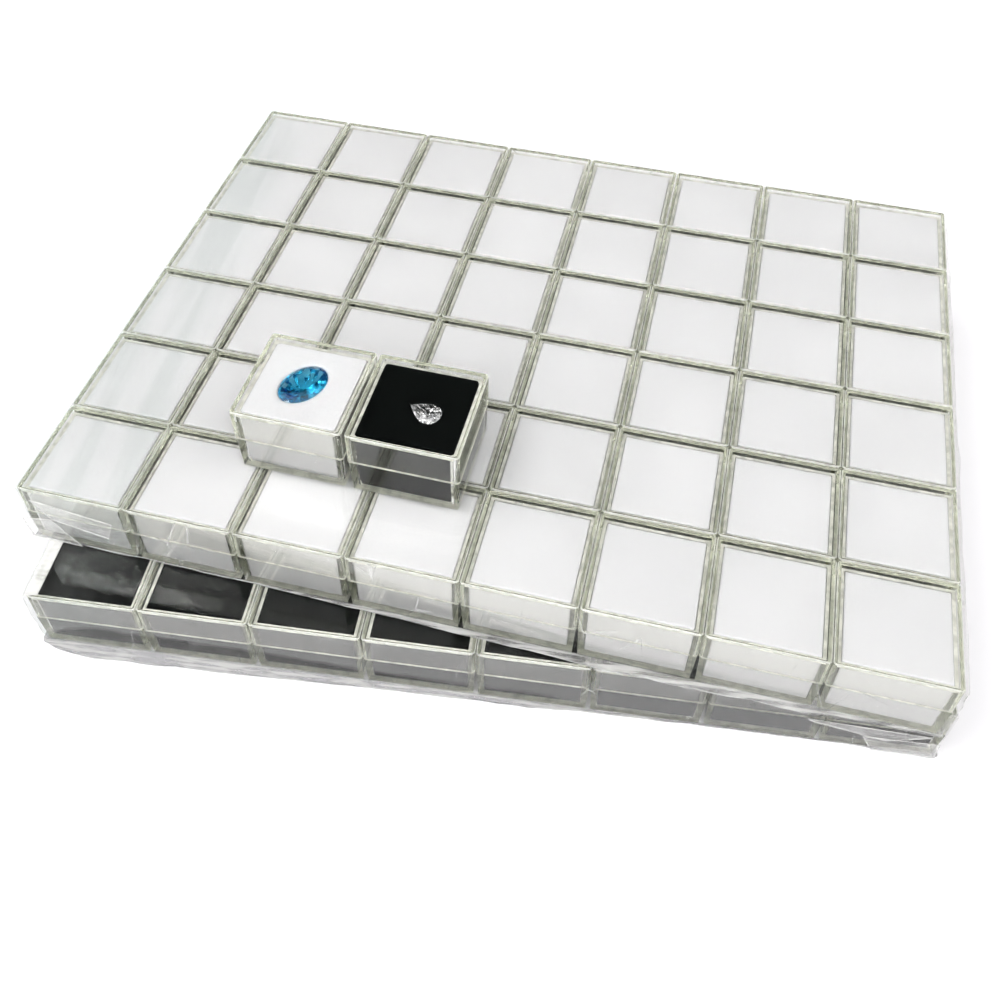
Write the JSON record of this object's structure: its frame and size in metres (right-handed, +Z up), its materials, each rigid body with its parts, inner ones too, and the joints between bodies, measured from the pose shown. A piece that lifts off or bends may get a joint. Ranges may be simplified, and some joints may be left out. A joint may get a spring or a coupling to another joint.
{
  "type": "bead storage box set",
  "caption": "Small clear square boxes with foam pads and lift-off lids, in two stacked shrink-wrapped packs, with two loose boxes on top holding cut stones.",
  "frame": {"origin": "middle of the lower pack's underside, on the surface that it lies on", "axes": "+X along the lower pack's long side, +Z up"},
  "size_m": [0.2625, 0.2067, 0.0656],
  "materials": {
    "clear_styrene": "gloss",
    "shrink_film": "gloss",
    "white_foam": "matte",
    "black_foam": "matte",
    "blue_stone": "polished",
    "clear_stone": "polished"
  },
  "bodies": {
    "lower_pack": {"lower_base_row_1": "clear_styrene", "lower_lid_row_1": "clear_styrene", "lower_pad_row_1": "black_foam", "lower_base_row_2": "clear_styrene", "lower_lid_row_2": "clear_styrene", "lower_pad_row_2": "black_foam", "lower_base_row_3": "clear_styrene", "lower_lid_row_3": "clear_styrene", "lower_pad_row_3": "black_foam", "lower_base_row_4": "clear_styrene", "lower_lid_row_4": "clear_styrene", "lower_pad_row_4": "black_foam", "lower_base_row_5": "clear_styrene", "lower_lid_row_5": "clear_styrene", "lower_pad_row_5": "black_foam", "lower_base_row_6": "clear_styrene", "lower_lid_row_6": "clear_styrene", "lower_pad_row_6": "black_foam", "lower_film": "shrink_film", "lower_film_seal": "shrink_film"},
    "upper_pack": {"upper_base_row_1": "clear_styrene", "upper_lid_row_1": "clear_styrene", "upper_pad_row_1": "white_foam", "upper_base_row_2": "clear_styrene", "upper_lid_row_2": "clear_styrene", "upper_pad_row_2": "white_foam", "upper_base_row_3": "clear_styrene", "upper_lid_row_3": "clear_styrene", "upper_pad_row_3": "white_foam", "upper_base_row_4": "clear_styrene", "upper_lid_row_4": "clear_styrene", "upper_pad_row_4": "white_foam", "upper_base_row_5": "clear_styrene", "upper_lid_row_5": "clear_styrene", "upper_pad_row_5": "white_foam", "upper_base_row_6": "clear_styrene", "upper_lid_row_6": "clear_styrene", "upper_pad_row_6": "white_foam", "upper_film": "shrink_film", "upper_film_seal": "shrink_film"},
    "white_box": {"white_box_base": "clear_styrene", "white_box_pad": "white_foam", "oval_stone": "blue_stone"},
    "white_lid": {"white_box_lid": "clear_styrene"},
    "black_box": {"black_box_base": "clear_styrene", "black_box_pad": "black_foam", "pear_stone": "clear_stone"},
    "black_lid": {"black_box_lid": "clear_styrene"}
  },
  "joints": [
    {"name": "upper_pack_lift", "type": "slide", "parent": "lower_pack", "child": "upper_pack", "axis": [0, 0, 1], "range_m": [0, 0.08]},
    {"name": "white_box_lift", "type": "slide", "parent": "upper_pack", "child": "white_box", "axis": [0, 0, 1], "range_m": [0, 0.06]},
    {"name": "black_box_lift", "type": "slide", "parent": "upper_pack", "child": "black_box", "axis": [0, 0, 1], "range_m": [0, 0.06]},
    {"name": "white_lid_lift", "type": "slide", "parent": "white_box", "child": "white_lid", "axis": [0, 0, 1], "range_m": [0, 0.04]},
    {"name": "black_lid_lift", "type": "slide", "parent": "black_box", "child": "black_lid", "axis": [0, 0, 1], "range_m": [0, 0.04]}
  ]
}
